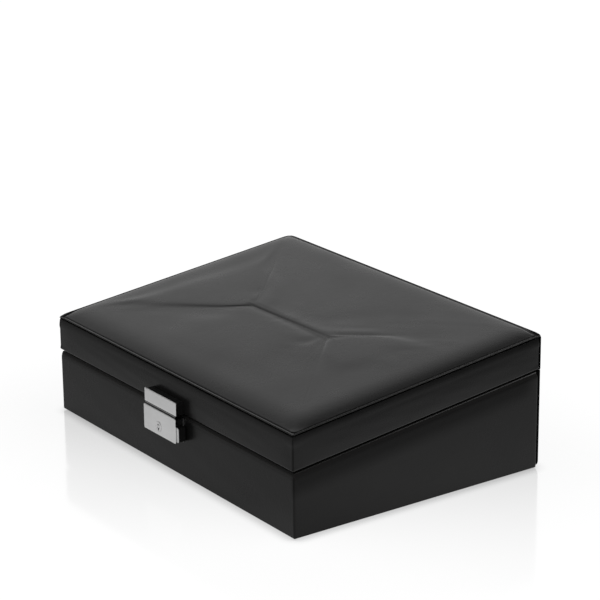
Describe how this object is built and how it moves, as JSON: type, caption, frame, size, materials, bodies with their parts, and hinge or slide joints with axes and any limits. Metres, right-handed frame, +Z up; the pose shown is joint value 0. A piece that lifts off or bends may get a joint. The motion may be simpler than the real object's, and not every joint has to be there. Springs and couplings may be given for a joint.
{
  "type": "jewellery case",
  "caption": "Wedge-shaped leather jewellery case with a padded mirror lid hinged at the back, a key lock with a release button, ring rolls and lined rooms.",
  "frame": {"origin": "centre of the underside, on the surface that the case stands on", "axes": "+X across the width, to the right seen from the front; +Y from the lock to the hinges; +Z up"},
  "size_m": [0.26, 0.193, 0.0861],
  "materials": {
    "leather": "smooth black nappa with a soft sheen",
    "board": "plain fibreboard",
    "foot_cloth": "short black felt",
    "suede": "dark grey suede cloth",
    "foam": "soft polyurethane foam",
    "mirror_glass": "silvered float glass",
    "nickel": "satin nickel plate",
    "steel": "plain zinc-plated steel",
    "black_enamel": "black enamel, satin"
  },
  "bodies": {
    "base": {"base_leather": "leather", "base_back_panel": "leather", "base_front_board": "board", "base_back_board": "board", "base_left_board": "board", "base_right_board": "board", "base_bottom_board": "board", "foot_sheet": "foot_cloth", "floor_pad": "suede", "lining_front": "suede", "lining_back": "suede", "lining_left": "suede", "lining_right": "suede", "divider_long": "suede", "divider_rings": "suede", "divider_right_1": "suede", "divider_back_1": "suede", "divider_back_2": "suede", "ring_roll_1": "suede", "ring_roll_2": "suede", "ring_roll_3": "suede", "ring_roll_4": "suede", "ring_roll_5": "suede", "base_hinge_leaf_left": "nickel", "base_hinge_leaf_right": "nickel", "hinge_pin_left": "nickel", "hinge_pin_right": "nickel", "base_hinge_screws": "nickel", "lock_plate": "nickel", "lock_rivets": "steel", "button_spring": "steel", "catch_leaf": "steel", "lock_back_plate": "steel", "lock_case": "black_enamel"},
    "lid": {"lid_front_rail": "board", "lid_back_rail": "board", "lid_left_rail": "board", "lid_right_rail": "board", "lid_top_board": "board", "lid_leather": "leather", "lid_back_panel": "leather", "lid_welt": "leather", "lid_foam": "foam", "lid_top_leather": "leather", "lid_lining_top": "suede", "lid_lining_edge": "suede", "mirror": "mirror_glass", "mirror_frame": "suede", "lid_hinge_leaf_left": "nickel", "lid_hinge_leaf_right": "nickel", "lid_hinge_screws": "nickel", "lid_lock_plate": "nickel", "lid_lock_housing": "black_enamel", "hasp": "steel", "lid_lock_rivets": "steel"},
    "release": {"release_button": "black_enamel", "button_trim": "nickel"},
    "key_barrel": {"key_cylinder": "nickel", "lock_cam": "steel"}
  },
  "joints": [
    {"name": "lid_hinge", "type": "hinge", "parent": "base", "child": "lid", "pos_m": [0, 0.0933, 0.06376], "axis": [-1, 0, 0], "range_deg": [0, 110], "deforming": ["catch_leaf"]},
    {"name": "release_slide", "type": "slide", "parent": "base", "child": "release", "axis": [-1, 0, 0], "range_m": [0, 0.002], "stiffness_N_per_m": 400, "springref_m": -0.001, "deforming": ["catch_leaf", "button_spring"]},
    {"name": "key_turn", "type": "hinge", "parent": "base", "child": "key_barrel", "pos_m": [-0.0012, -0.0904, 0.03], "axis": [0, -1, 0], "range_deg": [0, 100]}
  ]
}
